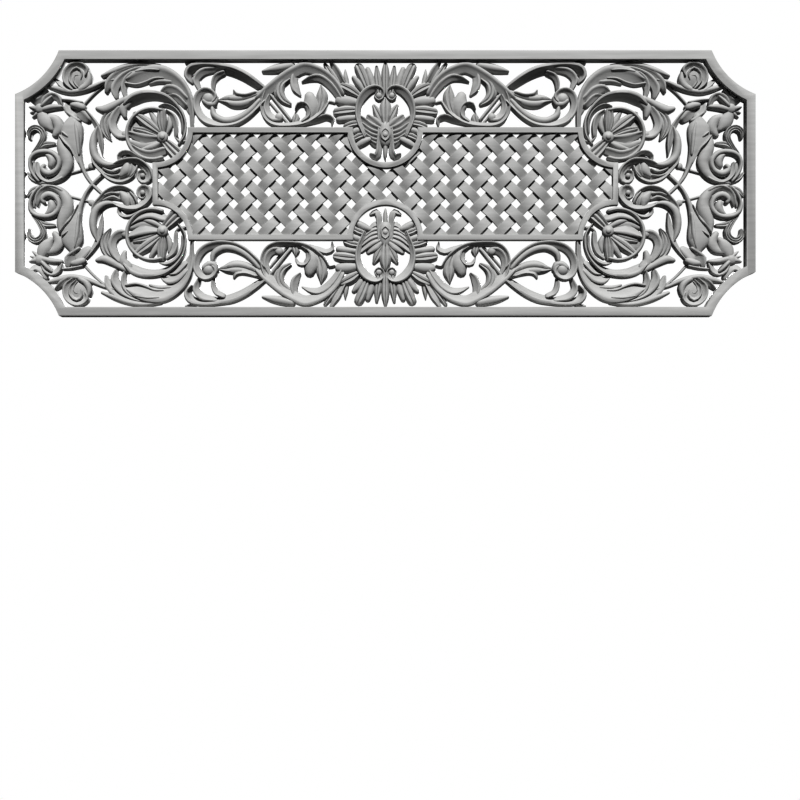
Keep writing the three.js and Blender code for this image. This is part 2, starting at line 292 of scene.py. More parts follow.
innerPiece = innerBoard(innerFrame["bar"] / 2, innerFrame["back"], innerFrame["front"])
combine(innerPiece, innerBoard(-innerFrame["bar"] / 2, -past, innerFrame["front"] + past),
        "DIFFERENCE")
innerPiece.name = "innerFrame"
easeEdges(innerPiece, innerFrame["edge"])
finishPiece(innerPiece, "inner_frame", flatMaterial, innerFrame["sharp"])


# Lattice: one strap with its wave for each slope, copied side by side, in the inner frame's opening

lattice = {
    "strapWidth": 12.8, "thickness": 3.4, "wave": 2.4, "flatness": 0.9,
    "middle": 9.6,  # depth of the weave's middle in front of the back plane
    "pitch": 31.95, "startX": 1.6, "startZ": 5.6,  # a crossing where the rising strap is on top
    "steps": 72, "gap": 0.3, "edge": 0.4, "sharp": 40,
}


def makeStrap(lean, phase):
    halfLength = (innerFrame["halfHeight"] + innerFrame["bar"] + lattice["strapWidth"]) * sqrt(2)
    flatness = lattice["flatness"]
    deselectAll()
    bpy.ops.mesh.primitive_grid_add(x_subdivisions=lattice["steps"], y_subdivisions=2, size=2,
                                    rotation=(pi / 2, 0, 0))
    strap = bpy.context.object
    bpy.ops.object.transform_apply(location=True, rotation=True, scale=True)
    between = lattice["pitch"] / sqrt(2)  # from one crossing to the next along the strap
    for vertex in strap.data.vertices:
        along = vertex.co.x * halfLength
        across = vertex.co.z * lattice["strapWidth"] / 2
        lift = tanh(flatness * cos(pi * along / between)) / tanh(flatness)
        vertex.co = ((along - lean * across) / sqrt(2),
                     -lattice["middle"] - phase * lattice["wave"] * lift,
                     (lean * along + across) / sqrt(2))
    solidify = strap.modifiers.new("thickness", "SOLIDIFY")
    solidify.thickness = lattice["thickness"]
    solidify.offset = 0
    bevel = strap.modifiers.new("edges", "BEVEL")
    bevel.width = lattice["edge"]
    bevel.segments = 1
    bevel.limit_method = "ANGLE"
    bevel.angle_limit = radians(60)
    applyModifiers(strap)
    return strap


def layStraps(lean, phase):
    model = makeStrap(lean, phase)
    count = ceil((innerFrame["halfWidth"] + innerFrame["halfHeight"]) / lattice["pitch"]) + 1
    straps = []
    for number in range(-count, count + 1):
        strap = model.copy()
        strap.data = model.data.copy()
        strap.location = (lattice["startX"] + number * lattice["pitch"], 0, lattice["startZ"])
        bpy.context.collection.objects.link(strap)
        straps.append(strap)
    bpy.data.objects.remove(model, do_unlink=True)
    family = joinPieces(straps, "straps")
    makeActive(family)
    bpy.ops.object.transform_apply(location=True, rotation=True, scale=True)
    opening = innerBoard(-innerFrame["bar"] / 2 - lattice["gap"], 0, outerFrame["depth"])
    combine(family, opening, "INTERSECT")
    return family


rising, falling = layStraps(1, 1), layStraps(-1, -1)
latticePiece = joinPieces([rising, falling], "wovenLattice")
finishPiece(latticePiece, "woven_lattice", strapMaterial, lattice["sharp"])


# Scrollwork of the upper left quarter: every lobe is swept along a curve through a few points

scrollwork = {
    "high": 16.5, "middle": 14, "low": 11.5, "thin": 8,  # heights in front of the back plane
    "stride": 4.5,  # most distance between two sections
    "thinnest": 0.8,  # width that no lobe goes under
    "innerFill": 0.9,  # share of a bend's radius that a lobe may fill
    "tipHeight": 0.64,  # height where a lobe is thin, as a share of its full height
    "noseTurns": (35, 70), "noseHeight": 0.6,  # rounded ends, in two steps
    "gap": 0.3, "weld": 0.01, "sharp": 42,
}
high, middle, low, thin = (scrollwork[name] for name in ("high", "middle", "low", "thin"))

# Sections from the right edge to the left: place across, and share of the lobe's height.
# The rim and the lip stand up on the left of the lobe's direction.
sections = {
    "round": [(-1, 0.62), (-0.9, 0.8), (-0.62, 0.93), (-0.3, 0.99), (0, 1), (0.3, 0.99),
              (0.62, 0.93), (0.9, 0.8), (1, 0.62)],
    "vein": [(-1, 0.62), (-0.88, 0.82), (-0.5, 0.98), (-0.16, 0.95), (0, 0.84), (0.16, 0.95),
             (0.5, 0.98), (0.88, 0.82), (1, 0.62)],
    "ribs": [(-1, 0.6), (-0.9, 0.82), (-0.68, 1), (-0.46, 0.93), (-0.33, 0.8), (-0.18, 0.94),
             (0, 1), (0.18, 0.94), (0.33, 0.8), (0.46, 0.93), (0.68, 1), (0.9, 0.82), (1, 0.6)],
    "rimLeft": [(-1, 0.54), (-0.9, 0.68), (-0.5, 0.76), (-0.1, 0.83), (0.18, 0.91), (0.36, 0.98),
                (0.65, 1), (0.88, 0.95), (1, 0.74)],
    "lipLeft": [(-1, 0.3), (-0.85, 0.42), (-0.5, 0.52), (-0.2, 0.62), (0.02, 0.8), (0.16, 0.93),
                (0.3, 0.99), (0.7, 1), (0.9, 0.94), (1, 0.72)],
}
sections["rimRight"] = [(-across, share) for across, share in reversed(sections["rimLeft"])]


def arc(x, z, radius, start, end, steps):
    angles = [radians(start + (end - start) * i / steps) for i in range(steps + 1)]
    return [(x + radius * cos(angle), z + radius * sin(angle)) for angle in angles]


def evenly(first, last, count):
    return [first + (last - first) * i / (count - 1) for i in range(count)]


def smoothStations(points, widths):  # a Catmull-Rom curve through the points, with its widths
    knots = [Vector((x, z, width)) for (x, z), width in zip(points, widths)]
    knots = [knots[0] * 2 - knots[1], *knots, knots[-1] * 2 - knots[-2]]
    stations = []
    for i in range(1, len(knots) - 2):
        before, first, last, after = knots[i - 1:i + 3]
        times = [0.0]
        for a, b in ((before, first), (first, last), (last, after)):
            times.append(times[-1] + max(hypot(b.x - a.x, b.y - a.y), 0.1) ** 0.5)
        count = max(2, ceil(hypot(last.x - first.x, last.y - first.y) / scrollwork["stride"]))
        for step in range(count):
            t = times[1] + (times[2] - times[1]) * step / count

            def blend(a, b, ta, tb):
                return a * ((tb - t) / (tb - ta)) + b * ((t - ta) / (tb - ta))
            early = blend(before, first, times[0], times[1])
            between = blend(first, last, times[1], times[2])
            late = blend(last, after, times[2], times[3])
            lower = blend(early, between, times[0], times[2])
            upper = blend(between, late, times[1], times[3])
            stations.append(blend(lower, upper, times[1], times[2]))
    stations.append(knots[-2])
    return stations


def makeLobe(points, widths, crown, shape):
    section = sections[shape]
    stations = smoothStations(points, widths)
    widest = max(station.z for station in stations)
    rows = []  # place, direction, half width to the right and to the left, height
    for i, station in enumerate(stations):
        before, after = stations[max(i - 1, 0)], stations[min(i + 1, len(stations) - 1)]
        direction = Vector((after.x - before.x, after.y - before.y)).normalized()
        half = max(station.z, scrollwork["thinnest"]) / 2
        right = left = half
        if 0 < i < len(stations) - 1:
            into = Vector((station.x - before.x, station.y - before.y))
            out = Vector((after.x - station.x, after.y - station.y))
            turn = (into.x * out.y - into.y * out.x) / max(into.length * out.length, 1e-6)
            bend = (into.length + out.length) / 2 / max(abs(asin(max(-1, min(1, turn)))), 1e-4)
            if turn > 0:  # the inner side stays within the bend's radius
                left = min(left, bend * scrollwork["innerFill"])
            else:
                right = min(right, bend * scrollwork["innerFill"])
        tip = scrollwork["tipHeight"]
        height = crown * (tip + (1 - tip) * sqrt(min(1, 2 * half / widest)))
        rows.append((Vector((station.x, station.y)), direction, right, left, height))

    def nose(row, sign):
        place, direction, right, left, height = row
        reach = (right + left) / 2
        least = scrollwork["noseHeight"]
        return [(place + direction * (sign * reach * sin(angle)), direction, right * cos(angle),
                 left * cos(angle), height * (least + (1 - least) * cos(angle)))
                for angle in (radians(turn) for turn in scrollwork["noseTurns"])]
    rows = nose(rows[0], -1)[::-1] + rows + nose(rows[-1], 1)

    vertices, faces = [], []
    ring = len(section) + 2
    for place, direction, right, left, height in rows:
        for across, share in [(-1, 0), *section, (1, 0)]:
            offset = across * (right if across < 0 else left)
            vertices.append((place.x - direction.y * offset, -share * height,
                             place.y + direction.x * offset))
    for row in range(len(rows) - 1):
        for k in range(ring):
            a, b = row * ring + k, row * ring + (k + 1) % ring
            faces.append((a, a + ring, b + ring, b))
    faces.append(tuple(range(ring)))
    faces.append(tuple(range(len(vertices) - ring, len(vertices)))[::-1])
    return meshPiece("lobe", vertices, faces)


domeShape = {
    "segments": 18, "rings": 9, "flatness": 0.62,
    "reach": 0.45,  # most half depth as a share of the height, so that it stays off the back
    "postWidth": 1.7, "postDrop": 0.45,  # the post under it, as shares of its radius
}


def makeDome(x, z, radius, crown):
    size = domeShape
    flatness = min(size["flatness"], size["reach"] * crown / radius)
    deselectAll()
    bpy.ops.mesh.primitive_uv_sphere_add(segments=size["segments"], ring_count=size["rings"],
                                         radius=radius, location=(x, -crown + radius * flatness, z))
    dome = bpy.context.object
    dome.scale = (1, flatness, 1)
    bpy.ops.object.transform_apply(location=True, rotation=True, scale=True)
    post = makeLobe([(x - 0.5, z), (x + 0.5, z)], [radius * size["postWidth"]] * 2,
                    crown - radius * size["postDrop"], "round")
    return [dome, post]


flowerRing = arc(-316.2, 68.2, 34.5, 70, 292, 16)
motifs = {
    "cornerSwirl": [
        ([(-424, 129), (-432.5, 139), (-432, 152), (-423.5, 160.5), (-412.5, 161), (-405.5, 154.5),
          (-407.5, 148)],
         [4, 8.5, 9, 9, 9, 8, 5], high, "rimLeft"),
        ([(-419, 131), (-426, 140), (-425, 150), (-418, 155.5), (-412.5, 150), (-413.5, 142.5)],
         [4, 6.5, 7, 7.5, 7, 4], middle + 1.5, "rimLeft"),
        ([(-417, 133), (-421, 140), (-419.5, 146), (-416, 146)], [4, 5.5, 5, 4], middle, "rimLeft"),
        ([(-402.5, 151), (-401.5, 143), (-405.5, 134), (-414, 128.5)],
         [5, 8.5, 10, 8], middle + 1, "round"),
        ([(-368, 142), (-382, 139), (-398, 132), (-412, 127.5), (-428, 125.5), (-441.5, 129),
          (-457, 132.5)],
         [3.5, 5, 7, 7.5, 7.5, 9, 4], middle, "round"),
        ([(-427, 127), (-438, 134), (-447, 142)], [7, 9, 4], middle, "rimLeft"),
        ([(-411, 108), (-397, 123), (-382, 136)], [3.5, 3.5, 3.5], thin, "round"),
    ],
    "cornerBud": [
        ([(-482, 116.5), (-473, 112.5), (-466, 116.5), (-460.5, 126.5)],
         [6, 10, 10, 6], middle, "rimLeft"),
        ([(-465, 108), (-460, 116.5), (-452, 120.5), (-445, 117.5), (-440.5, 108)],
         [6, 9, 9, 8.5, 6], middle, "rimLeft"),
        ([(-465, 106), (-459, 112.5), (-452.5, 118.5)], [6, 6.5, 4], high, "round"),
        ([(-464, 101.5), (-452, 104.5), (-440, 105)], [8, 8.5, 6], middle + 1, "round"),
        ([(-466, 103), (-475, 103), (-483, 105)], [9, 8, 2], middle, "round"),
        ([(-467, 102), (-475, 99.5), (-482, 97.5)], [8, 6, 2], low, "round"),
        ([(-467, 101), (-473, 96), (-479, 91)], [8, 6, 2], low + 1, "round"),
        ([(-468, 99), (-465, 91), (-460, 83), (-454, 75)], [10, 17, 18, 8], middle, "round"),
        ([(-457, 92), (-448, 88), (-443.5, 78), (-449, 67)], [8, 13, 14, 8], low + 1, "round"),
    ],
    "calyx": [
        ([(-438, 115), (-427, 114), (-412, 111)], [3, 4, 4], middle, "round"),
        ([(-432, 110), (-430, 102), (-422, 95)], [6, 13, 11], low, "rimRight"),
        ([(-424, 107.5), (-417, 106.5), (-410.5, 104)], [8, 11.5, 10], high - 1, "round"),
        ([(-417, 100), (-411, 94), (-404.5, 88)], [11, 14, 10], low + 1, "rimLeft"),
        ([(-431, 97), (-424, 91.5), (-416, 86.5)], [4, 6, 5], middle - 1, "round"),
    ],
    "pod": [
        ([(-424, 92), (-425, 80), (-425.5, 66), (-423, 53), (-417.5, 41), (-413, 27), (-406, 11),
          (-398, 0)],
         [9, 27, 30, 24, 12, 7, 5, 5], middle + 1, "round"),
        ([(-421, 86), (-418, 70), (-416.5, 54), (-415, 40)], [3, 7, 6, 4], high, "round"),
        ([(-441, 66), (-433, 57), (-425.5, 49), (-420, 38), (-416, 29)],
         [3, 6, 5, 4, 3], high + 0.5, "rimRight"),
        ([(-437.5, 70), (-433.5, 67), (-429.5, 63.5)], [3, 4, 3], high, "round"),
        ([(-399, -1), (-391, 7), (-383, 14)], [5, 5, 5], low, "round"),
        ([(-433, 14.5), (-418, 18.5), (-401, 23)], [4, 3.5, 4], thin, "round"),
    ],
    "sideVolute": [
        ([(-441.5, 66), (-440, 52), (-434, 39), (-431, 29), (-434, 18), (-441.5, 9), (-452, 4),
          (-465, 2)],
         [4, 13, 17, 16, 14, 11, 8, 6], middle + 1, "round"),
        ([(-470.4, 4.3), (-477.2, 12.7), (-481.4, 22.1), (-482.2, 30.4), (-479.3, 37.7),
          (-472.5, 42.4), (-465.2, 43.9), (-457.4, 44), (-450.1, 41.4), (-444.3, 35.6),
          (-442.2, 28.3), (-444.9, 20.5), (-450.1, 15.8), (-456.3, 14.2), (-462.2, 16.5),
          (-465, 21.2), (-463.2, 25)],
         [4, 5, 5, 5.5, 6.5, 7.5, 8, 8, 8, 7.5, 7, 7.5, 9, 10, 9.5, 8, 6], high, "round"),
        ([(-460.5, 40.3), (-455.3, 37.2), (-451.9, 31), (-453.3, 25.2)],
         [4, 9.5, 11.5, 9.5], middle + 1.5, "round"),
        ([(-440.7, 10.6), (-449, 6), (-457.4, 4.6), (-465.7, 8.5), (-470.9, 15.8), (-472.5, 23.1),
          (-472.5, 29.9)],
         [10, 8.5, 7, 7, 7.5, 7, 2], middle + 1, "rimLeft"),
        ([(-477.5, 30), (-477, 22.1), (-472.8, 13), (-465.7, 6)], [3, 5, 5, 4], thin + 1, "round"),
        ([(-486, 15.5), (-479, 8), (-468, 2.5)], [4, 8, 5], low, "vein"),
        ([(-483, 62), (-483, 71), (-475.5, 76.5), (-467, 73), (-464, 64), (-470, 52), (-478, 42)],
         [4, 8.5, 9, 9.5, 9, 7, 5], middle, "ribs"),
        ([(-473, 48), (-462, 54.5), (-450, 55.5)], [6, 8.5, 5], low + 1, "vein"),
    ],
    "windingStems": [
        ([(-409.6, 103), (-398.5, 89.6), (-390, 75), (-386, 57.5), (-383.7, 38)],
         [3.5, 6, 8, 8.5, 1.5], middle, "rimLeft"),
        ([(-390, 79), (-395, 66), (-396.5, 52), (-393, 37), (-384, 28.5), (-375, 26), (-366, 27)],
         [2, 8, 10.5, 11, 10, 8, 4], high, "round"),
        ([(-397, 44), (-395, 31), (-387, 20), (-378, 10.5), (-369, 5.5), (-359, 4), (-350, 6.5),
          (-343, 11.5), (-339, 20)],
         [3, 6.5, 6, 6, 5.5, 5, 5, 4.5, 2.5], middle + 1, "rimRight"),
    ],
    "sideAcanthus": [
        ([(-371, 24.5), (-360, 29.5), (-348, 32), (-337, 31.5), (-327, 26.5), (-320, 18),
          (-316.5, 7)],
         [2.5, 6.5, 7.5, 8.5, 8, 8, 7], high + 0.5, "rimLeft"),
        ([(-361, 31), (-361.5, 38), (-356, 43), (-347, 43), (-339, 38.5), (-330, 33.5)],
         [3, 4.5, 5, 5, 5, 4], middle + 1, "rimLeft"),
        ([(-358, 34), (-350, 37), (-341, 36)], [4, 7, 5], thin, "round"),
        ([(-383, 20), (-370, 14), (-356, 14), (-345, 19)], [6, 14, 18, 14], low - 2, "round"),
        ([(-383, 22), (-376, 18.5), (-368, 17), (-361, 20.5)], [3, 4, 4.5, 3.5], middle, "round"),
        ([(-381, 14.5), (-372, 11.5), (-362, 12.5)], [3, 3.5, 3], middle - 1, "round"),
        ([(-350, 28), (-351.5, 20), (-358, 12)], [8, 15, 7], middle + 0.5, "round"),
        ([(-343, 27), (-343, 19.5), (-348, 11.5)], [6, 9, 5], middle - 1, "rimRight"),
        ([(-337, 25), (-339.5, 18), (-346, 10.5)], [3, 4.5, 3], middle, "round"),
        ([(-335, 27), (-326.5, 22.5), (-321.5, 14), (-323, 6), (-329.5, 4.5), (-334, 9.5),
          (-333.5, 16), (-328.5, 18), (-325.5, 14)],
         [6, 9, 9.5, 9.5, 8.5, 7.5, 6, 4, 3], middle, "rimLeft"),
    ],
    "middleSpray": [
        ([(-391, 103), (-382, 101.5), (-371, 106), (-360, 112), (-350, 117)],
         [6, 11.5, 11, 9, 8], middle, "round"),
        ([(-366, 102), (-377, 93), (-381, 81), (-379, 70), (-373.5, 60.5)],
         [8, 13, 15, 11, 3], low, "ribs"),
        ([(-361, 103), (-368, 92), (-370.5, 82), (-368, 73.5), (-361, 67.5), (-352, 67)],
         [7, 11, 11, 11, 12, 10], middle, "rimRight"),
        ([(-348, 112), (-356, 104), (-354, 92)], [10, 13, 6], low + 1, "round"),
        ([(-352, 108), (-343, 115), (-330, 120), (-314, 121), (-300, 118), (-289, 111), (-279, 100),
          (-273.5, 88.5), (-272, 77), (-274, 66), (-281, 55)],
         [8, 14, 14, 12, 10.5, 8.5, 7, 6, 6, 6, 4], high, "lipLeft"),
        ([(-307.5, 105.5), (-299, 107.5), (-288, 103.5), (-279.5, 94), (-276, 83), (-276, 70)],
         [1.5, 4.5, 5, 5, 4, 3], middle, "rimLeft"),
        ([(-285, 64), (-279, 58.5), (-272, 59)], [2.5, 4.5, 4], low, "round"),
    ],
    "upperSpray": [
        ([(-384, 147), (-368, 153.5), (-350, 160), (-328, 163), (-306, 160)],
         [4.5, 8.5, 7.5, 7, 6], middle + 1, "round"),
        ([(-379, 125), (-375, 137), (-363, 149), (-345, 156), (-325, 159)],
         [4, 11, 11.5, 10, 6], middle, "rimLeft"),
        ([(-365, 118), (-367, 129), (-359, 142.5), (-346, 151.5), (-330, 156.5), (-312, 155)],
         [6, 11.5, 11, 9, 7, 5], middle + 1, "rimLeft"),
        ([(-353, 119), (-355, 130), (-352, 140), (-344, 149), (-330, 152)],
         [5, 8, 9, 8, 5], middle, "rimLeft"),
        ([(-352, 137), (-338, 135), (-325, 138.5), (-313, 143.5), (-301, 144)],
         [4, 4, 4, 4, 3], middle, "round"),
        ([(-320, 136.5), (-308, 140), (-291, 139.5)], [3, 6, 6], low + 1, "round"),
        ([(-349, 141), (-335, 146), (-319, 150), (-303, 150.5), (-290, 145.5), (-277, 135),
          (-268, 120), (-263, 99), (-262, 77)],
         [8, 19, 22, 21, 18, 14.5, 12, 8, 6], high, "rimLeft"),
        ([(-338, 152), (-322, 154.5), (-306, 154)], [3, 4, 3], high + 1, "round"),
        ([(-303, 126), (-296, 130), (-285, 128), (-271, 116)], [5, 11, 12, 9], middle, "rimLeft"),
        ([(-295, 121), (-285, 119), (-272, 107)], [3, 8, 8], middle - 1, "rimLeft"),
        ([(-291, 112), (-282, 113), (-272, 107), (-266, 98)], [2, 4.5, 5, 5], thin, "round"),
    ],
    "flower": [
        (flowerRing, evenly(5, 5.5, len(flowerRing)), middle + 1, "round"),
        ([(-306, 66), (-318, 70), (-331, 74)], [14, 30, 36], thin, "round"),
        ([(-306, 58), (-318, 54), (-333, 53)], [10, 18, 14], thin, "round"),
        ([(-307, 71), (-323, 83), (-339, 95)], [7, 15, 9], middle, "vein"),
        ([(-306, 74), (-312, 86), (-319, 98)], [5, 9, 5], low, "round"),
        ([(-309, 67), (-326, 73.5), (-341, 76.5)], [6, 10, 5], low, "vein"),
        ([(-308, 62), (-328, 62), (-347, 69)], [7, 14, 7], middle, "rimRight"),
        ([(-309, 58), (-328, 53), (-347, 59)], [6, 12, 6], low - 1, "round"),
        ([(-305, 57), (-317, 51), (-330, 48)], [6, 9, 4], low + 1, "round"),
        ([(-345, 53), (-333, 44), (-318.5, 40.5), (-301, 45.5)],
         [4, 10, 12, 11], middle, "rimLeft"),
        ([(-302, 72), (-303.5, 85), (-304, 99)], [8, 14, 11], middle, "ribs"),
        ([(-297, 100), (-288.5, 92), (-284.5, 80), (-284, 66)], [4, 8, 8, 6], middle, "rimLeft"),
        ([(-296, 70), (-292.5, 80), (-294, 92)], [5, 8, 4], low, "round"),
        ([(-301, 60), (-293.5, 51.5), (-283, 41)], [10, 16, 20], middle, "ribs"),
    ],
    "heartScroll": [
        ([(-263, 138.5), (-268, 147), (-264, 156), (-253, 159.5), (-238, 160), (-222, 157.5),
          (-208, 154.5), (-193, 148), (-178, 138.5), (-165, 129)],
         [4, 10, 12, 11, 10.5, 12.5, 13.5, 13, 11.5, 9], high, "lipLeft"),
        ([(-253, 130), (-257, 142), (-249, 152), (-231, 156)],
         [6, 9.5, 10.5, 7], middle, "rimLeft"),
        ([(-271, 165), (-260, 164)], [3, 6], low, "round"),
        ([(-233.5, 128), (-233, 138), (-229, 146.5), (-220, 151)], [5, 7, 8, 7], middle, "rimLeft"),
        ([(-235.5, 112.5), (-232, 118), (-236, 124), (-245, 126.5), (-253, 121), (-256.5, 109),
          (-253, 96.5), (-244.5, 87), (-231, 82), (-216, 81.5), (-203, 84), (-190, 91), (-178, 101),
          (-166, 113)],
         [7, 9, 9, 9.5, 10, 9.5, 10, 10.5, 10.5, 10, 10, 9.5, 8.5, 7], high, "rimRight"),
        ([(-246, 113), (-240, 108.5), (-232, 109), (-229, 117)], [7, 9, 9, 6], middle + 1, "round"),
        ([(-235, 105), (-232.5, 94), (-220, 86.5), (-206.5, 87), (-192, 93.5), (-179.5, 104),
          (-171, 114)],
         [5, 9, 10, 10.5, 9.5, 8, 6], high - 1, "round"),
        ([(-226.5, 114.3), (-216, 114.5), (-206, 113), (-194, 113.5), (-180, 118), (-166, 124.5)],
         [2, 13, 19, 19, 15, 10], middle, "vein"),
        ([(-206, 127.5), (-202.5, 120.5), (-190, 118.5), (-176, 123)],
         [2, 8, 8, 6], high - 0.5, "rimLeft"),
    ],
    "ribbon": [
        ([(-172, 116), (-163, 124), (-152, 133), (-139, 143), (-125, 151.5), (-110, 158),
          (-95, 155), (-80, 147), (-68, 135), (-60, 122)],
         [10, 13, 14.5, 15, 15.5, 15, 14, 13, 12, 10], high, "rimLeft"),
        ([(-166, 153), (-155, 155.5), (-142, 158), (-127, 161)], [4, 9.5, 12, 10], high, "round"),
        ([(-113, 139), (-101, 144), (-90, 144.5), (-79, 138), (-69, 127), (-60, 113)],
         [2, 8, 10, 10, 9, 7], middle, "rimLeft"),
        ([(-131, 144), (-141, 136), (-143.5, 124), (-139, 115), (-130, 109)],
         [8, 12, 13, 11, 6], middle, "vein"),
        ([(-149.5, 131), (-148.5, 123), (-146.5, 116)], [7, 7.5, 3], low, "round"),
        ([(-123, 148), (-124, 138), (-121.5, 129), (-116, 121.5)],
         [9, 11, 10.5, 4], middle, "rimRight"),
    ],
    "cScroll": [
        ([(-160, 129), (-165, 116), (-167, 104), (-164, 93), (-157, 85), (-147, 81), (-134, 80.5),
          (-121, 81.5), (-108, 85), (-95, 92), (-86, 99), (-80, 107), (-76, 112.5), (-69, 111)],
         [6, 6, 6, 6.5, 7, 7, 7, 7.5, 9, 8, 6, 4.5, 3.5, 3], high, "rimRight"),
        ([(-157, 121), (-161.5, 108), (-159, 96.5), (-151.5, 90), (-144, 90.5)],
         [5, 8, 9, 10, 10.5], middle, "rimRight"),
        ([(-156, 122), (-129, 88)], [4.5, 4.5], low, "round"),
        ([(-159, 114), (-133, 84)], [3.5, 3.5], thin, "round"),
        ([(-103, 119), (-101, 110), (-100, 99), (-106, 87)], [14, 21, 17, 7], high - 1, "round"),
        ([(-121.6, 100.6), (-118, 107.5), (-110, 108.5), (-104, 101.5), (-104.5, 93), (-113, 86)],
         [2.5, 5.5, 5.5, 6, 6, 4], high, "rimLeft"),
        ([(-87.7, 135), (-86, 121), (-87.5, 107), (-93, 93)], [1.5, 15.5, 13, 7], middle, "vein"),
        ([(-122.4, 98), (-121.5, 91), (-124, 83)], [1.5, 10.5, 7], low, "vein"),
        ([(-109, 82), (-92, 87.5), (-80, 91.5), (-72, 87.5), (-72.5, 78)],
         [4, 7, 8, 7, 1.5], middle + 1, "rimLeft"),
    ],
    "leafPair": [
        ([(-82, 163), (-73, 149), (-60, 131)], [5, 11, 5], middle, "vein"),
        ([(-73.5, 165), (-66, 153), (-56, 136)], [5, 9.5, 5], high, "rimLeft"),
        ([(-54.6, 156), (-54, 146), (-51, 135)], [1.5, 6.5, 5], low, "round"),
    ],
    "medallion": [
        ([(0, 124), (0, 140), (0, 153), (0, 168)], [9, 11, 10.5, 2], high, "vein"),
        ([(-8, 124), (-10.5, 143), (-12, 159.5)], [9, 10.5, 4], middle, "vein"),
        ([(-11.5, 123.5), (-13.5, 119), (-9.5, 115), (-4.5, 117), (-3, 123), (-6.5, 128.5),
          (-14, 130), (-23.5, 126), (-31.5, 117.5), (-36, 107), (-37.3, 96), (-35.2, 84), (-31, 74),
          (-28, 65)],
         [3, 4, 4.5, 5, 5.5, 6.5, 9, 11.5, 11.5, 9, 8, 7.5, 7, 5], high + 1, "rimRight"),
        ([(0, 83), (0, 93), (0, 104), (0, 111), (0, 117.5)], [10, 15, 16, 12, 2], high, "vein"),
        ([(-4, 84), (-8.5, 93), (-12, 100), (-15.5, 106.5)], [9, 13, 11, 5], middle, "vein"),
        ([(-7.5, 76), (-8, 64), (-8.5, 52), (-9, 43.5), (-13, 37.5), (-20, 40.5)],
         [6, 7, 8, 9, 9, 4], middle + 1, "rimRight"),
        ([(0, 79), (0, 70), (0, 57)], [15, 20, 15], high, "round"),
        ([(0, 60), (0, 48), (0, 39), (0, 33.5)], [7, 6.5, 5.5, 2], middle, "round"),
        ([(0, 74.5), (-4.6, 70.5), (-4.8, 62.5), (0, 58)], [2.8, 2.8, 2.8, 2.8], high + 1, "round"),
    ],
}

sunburst = {
    "rays": [  # outside the medallion's ring: root, middle, tip, width at each
        ((-17, 133), (-20.5, 145), (-24, 156), 8, 10, 7),
        ((-25, 132), (-31, 147), (-36, 158), 10, 14, 13),
        ((-31, 129), (-37, 138), (-43, 145), 8, 10, 6),
        ((-38, 122), (-47, 128), (-56, 132.5), 10, 15, 13),
        ((-41, 112), (-52, 113), (-62, 113.5), 11, 15, 13),
        ((-42, 100.5), (-54, 99.5), (-65, 98), 11, 15, 13),
        ((-40, 90.5), (-52, 89.5), (-63, 88), 8, 10, 9),
        ((-37, 82.5), (-46, 81), (-53, 78.5), 9, 10, 9),
        ((-34, 74), (-39, 73), (-44, 70.5), 8, 10, 8),
        ((-30, 66.5), (-36, 64.5), (-42, 61.5), 8, 10, 8),
        ((-22, 61), (-30, 57.5), (-37, 53), 8, 11, 9)],
    "feathers": [  # from the column out and up to the ring: root, middle, tip, width at each
        ((-7, 77), (-15, 83.5), (-23, 91.5), 11, 15, 7), ((-7, 73), (-20, 79), (-33, 91), 9, 11, 5),
        ((-7, 68), (-20, 71.5), (-32, 82), 8, 10, 5),
        ((-7, 63), (-19, 65.5), (-30.5, 75), 8, 9.5, 5),
        ((-7, 58.5), (-17, 59.5), (-27, 67.5), 7, 9, 5), ((-7, 54), (-14, 54), (-22, 60), 7, 8, 4)],
    "rayHeights": (middle, high - 1), "rayShapes": ("round", "vein"),  # in turn
    "featherHeight": middle + 1, "featherDrop": 0.6,  # each feather lies lower than the last
}
domes = {  # place, radius and height
    "flowerBoss": (-302, 63.7, 8, 16), "flowerEye": (-302, 63.7, 4, 17.4),
    "heartEye": (-240, 116, 7.5, 15.5), "heartDisc": (-239, 117, 11, 13),
    "rodEnd": (-399, 25, 4.5, 11), "ringEnd": (-8.8, 119.8, 4, 15), "columnEye": (0, 66, 3.4, 18),
    "acanthusEye": (-329, 11.5, 3.4, 14.5), "curlEnd": (-353, 67.5, 5, 13.5),
    "cEnd": (-144, 91, 5.5, 14.5), "swirlDisc": (-416.7, 146.5, 17, 13),
    "budHeart": (-468.5, 102.5, 7, 15),
}


def quarterLobes():
    lobes = [makeLobe(*entry) for entries in motifs.values() for entry in entries]
    for i, (root, between, tip, *widths) in enumerate(sunburst["rays"]):
        lobes.append(makeLobe([root, between, tip], widths, sunburst["rayHeights"][i % 2],
                              sunburst["rayShapes"][i % 2]))
    for i, (root, between, tip, *widths) in enumerate(sunburst["feathers"]):
        crown = sunburst["featherHeight"] - sunburst["featherDrop"] * i
        lobes.append(makeLobe([root, between, tip], widths, crown, "rimRight"))
    for dome in domes.values():
        lobes += makeDome(*dome)
    return lobes


def fuse(lobes, name):
    whole = lobes[0]
    others = bpy.data.collections.new("lobes")
    bpy.context.scene.collection.children.link(others)
    for lobe in lobes[1:]:
        bpy.context.collection.objects.unlink(lobe)
        others.objects.link(lobe)
    union = whole.modifiers.new("union", "BOOLEAN")
    union.operation = "UNION"
    union.operand_type = "COLLECTION"
    union.solver = "MANIFOLD"
    union.collection = others
    applyModifiers(whole)
    for lobe in list(others.objects):
        bpy.data.objects.remove(lobe, do_unlink=True)
    bpy.data.collections.remove(others)
    whole.name = name
    print(name, len(lobes), "lobes of one quarter joined")
    return whole


